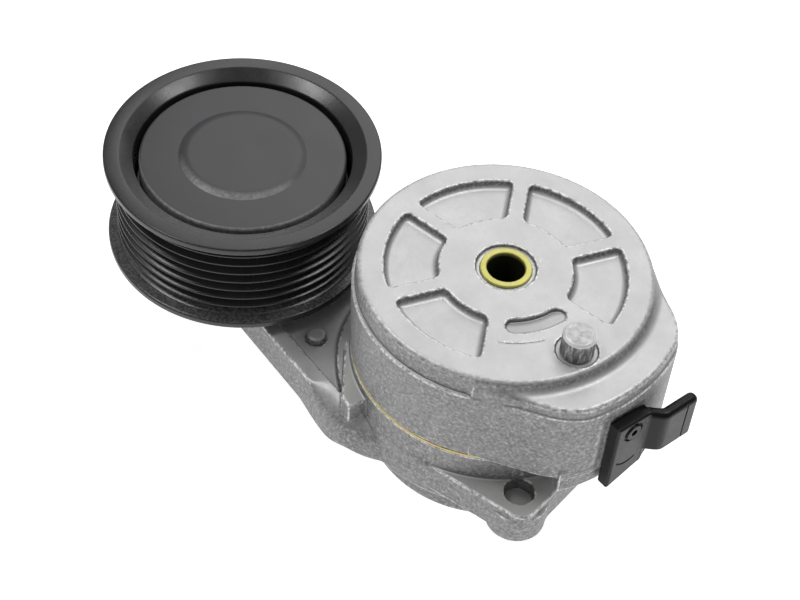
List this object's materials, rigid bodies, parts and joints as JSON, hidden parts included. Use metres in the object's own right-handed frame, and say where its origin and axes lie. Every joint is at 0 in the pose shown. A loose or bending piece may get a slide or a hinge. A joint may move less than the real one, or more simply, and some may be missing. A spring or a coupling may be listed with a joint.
{
  "type": "automatic belt tensioner",
  "caption": "Sprung belt tensioner: a round cast case with a mounting dowel, a cast arm that turns on it, and a ribbed idler pulley on a sealed ball bearing at the arm's end.",
  "frame": {"origin": "on the mounting bolt's axis, at the mounting face", "axes": "+Z out of the mounting face, towards the engine; +X along the line from the pulley's axis to the pivot axis; +Y completes the frame"},
  "size_m": [0.1945, 0.0881, 0.0802],
  "materials": {
    "cast_case": "die-cast, speckled",
    "cast_arm": "die-cast, smooth",
    "yellow_zinc": "yellow zinc plated",
    "dowel_steel": "turned",
    "black_plastic": "satin",
    "spring_steel": "oiled",
    "seat_plastic": "matte",
    "plain_steel": "zinc plated",
    "dark_steel": "phosphated",
    "bushing_plastic": "matte",
    "friction_lining": "matte",
    "bearing_steel": "ground",
    "seal_rubber": "matte",
    "cage_brass": "pressed",
    "pulley_plastic": "satin",
    "cover_plastic": "satin"
  },
  "bodies": {
    "case": {"spring_case": "cast_case", "pivot_sleeve": "yellow_zinc", "locating_dowel": "dowel_steel", "side_clip": "black_plastic", "clip_pin": "black_plastic", "torsion_spring": "spring_steel", "spring_seat": "seat_plastic", "retaining_plate": "plain_steel", "tube_circlip": "dark_steel"},
    "arm": {"tensioner_arm": "cast_arm", "pivot_bushing": "bushing_plastic", "damper_band": "friction_lining", "thrust_plate": "yellow_zinc", "thrust_washer": "seat_plastic", "web_plug": "cast_arm", "pulley_bolt": "dark_steel", "bolt_washer": "plain_steel", "bearing_spacer": "plain_steel", "bearing_inner_race": "bearing_steel"},
    "pulley": {"pulley": "pulley_plastic", "bearing_outer_race": "bearing_steel", "bearing_seals": "seal_rubber", "bearing_circlip": "dark_steel", "dust_cover": "cover_plastic"},
    "ball_set": {"bearing_balls": "bearing_steel", "ball_cage": "cage_brass"}
  },
  "joints": [
    {"name": "arm_pivot", "type": "hinge", "parent": "case", "child": "arm", "pos_m": [0, 0, 0], "axis": [0, 0, 1], "range_deg": [0, 79], "stiffness_Nm_per_rad": 20, "springref_deg": -57.3, "deforming": ["torsion_spring"]},
    {"name": "pulley_spin", "type": "hinge", "parent": "arm", "child": "pulley", "pos_m": [-0.09, 0, 0], "axis": [0, 0, 1], "continuous": true},
    {"name": "cage_spin", "type": "hinge", "parent": "arm", "child": "ball_set", "pos_m": [-0.09, 0, 0], "axis": [0, 0, 1], "continuous": true}
  ],
  "couplings": [
    {"joint": "cage_spin", "follows": "pulley_spin", "ratio": 0.63125}
  ]
}
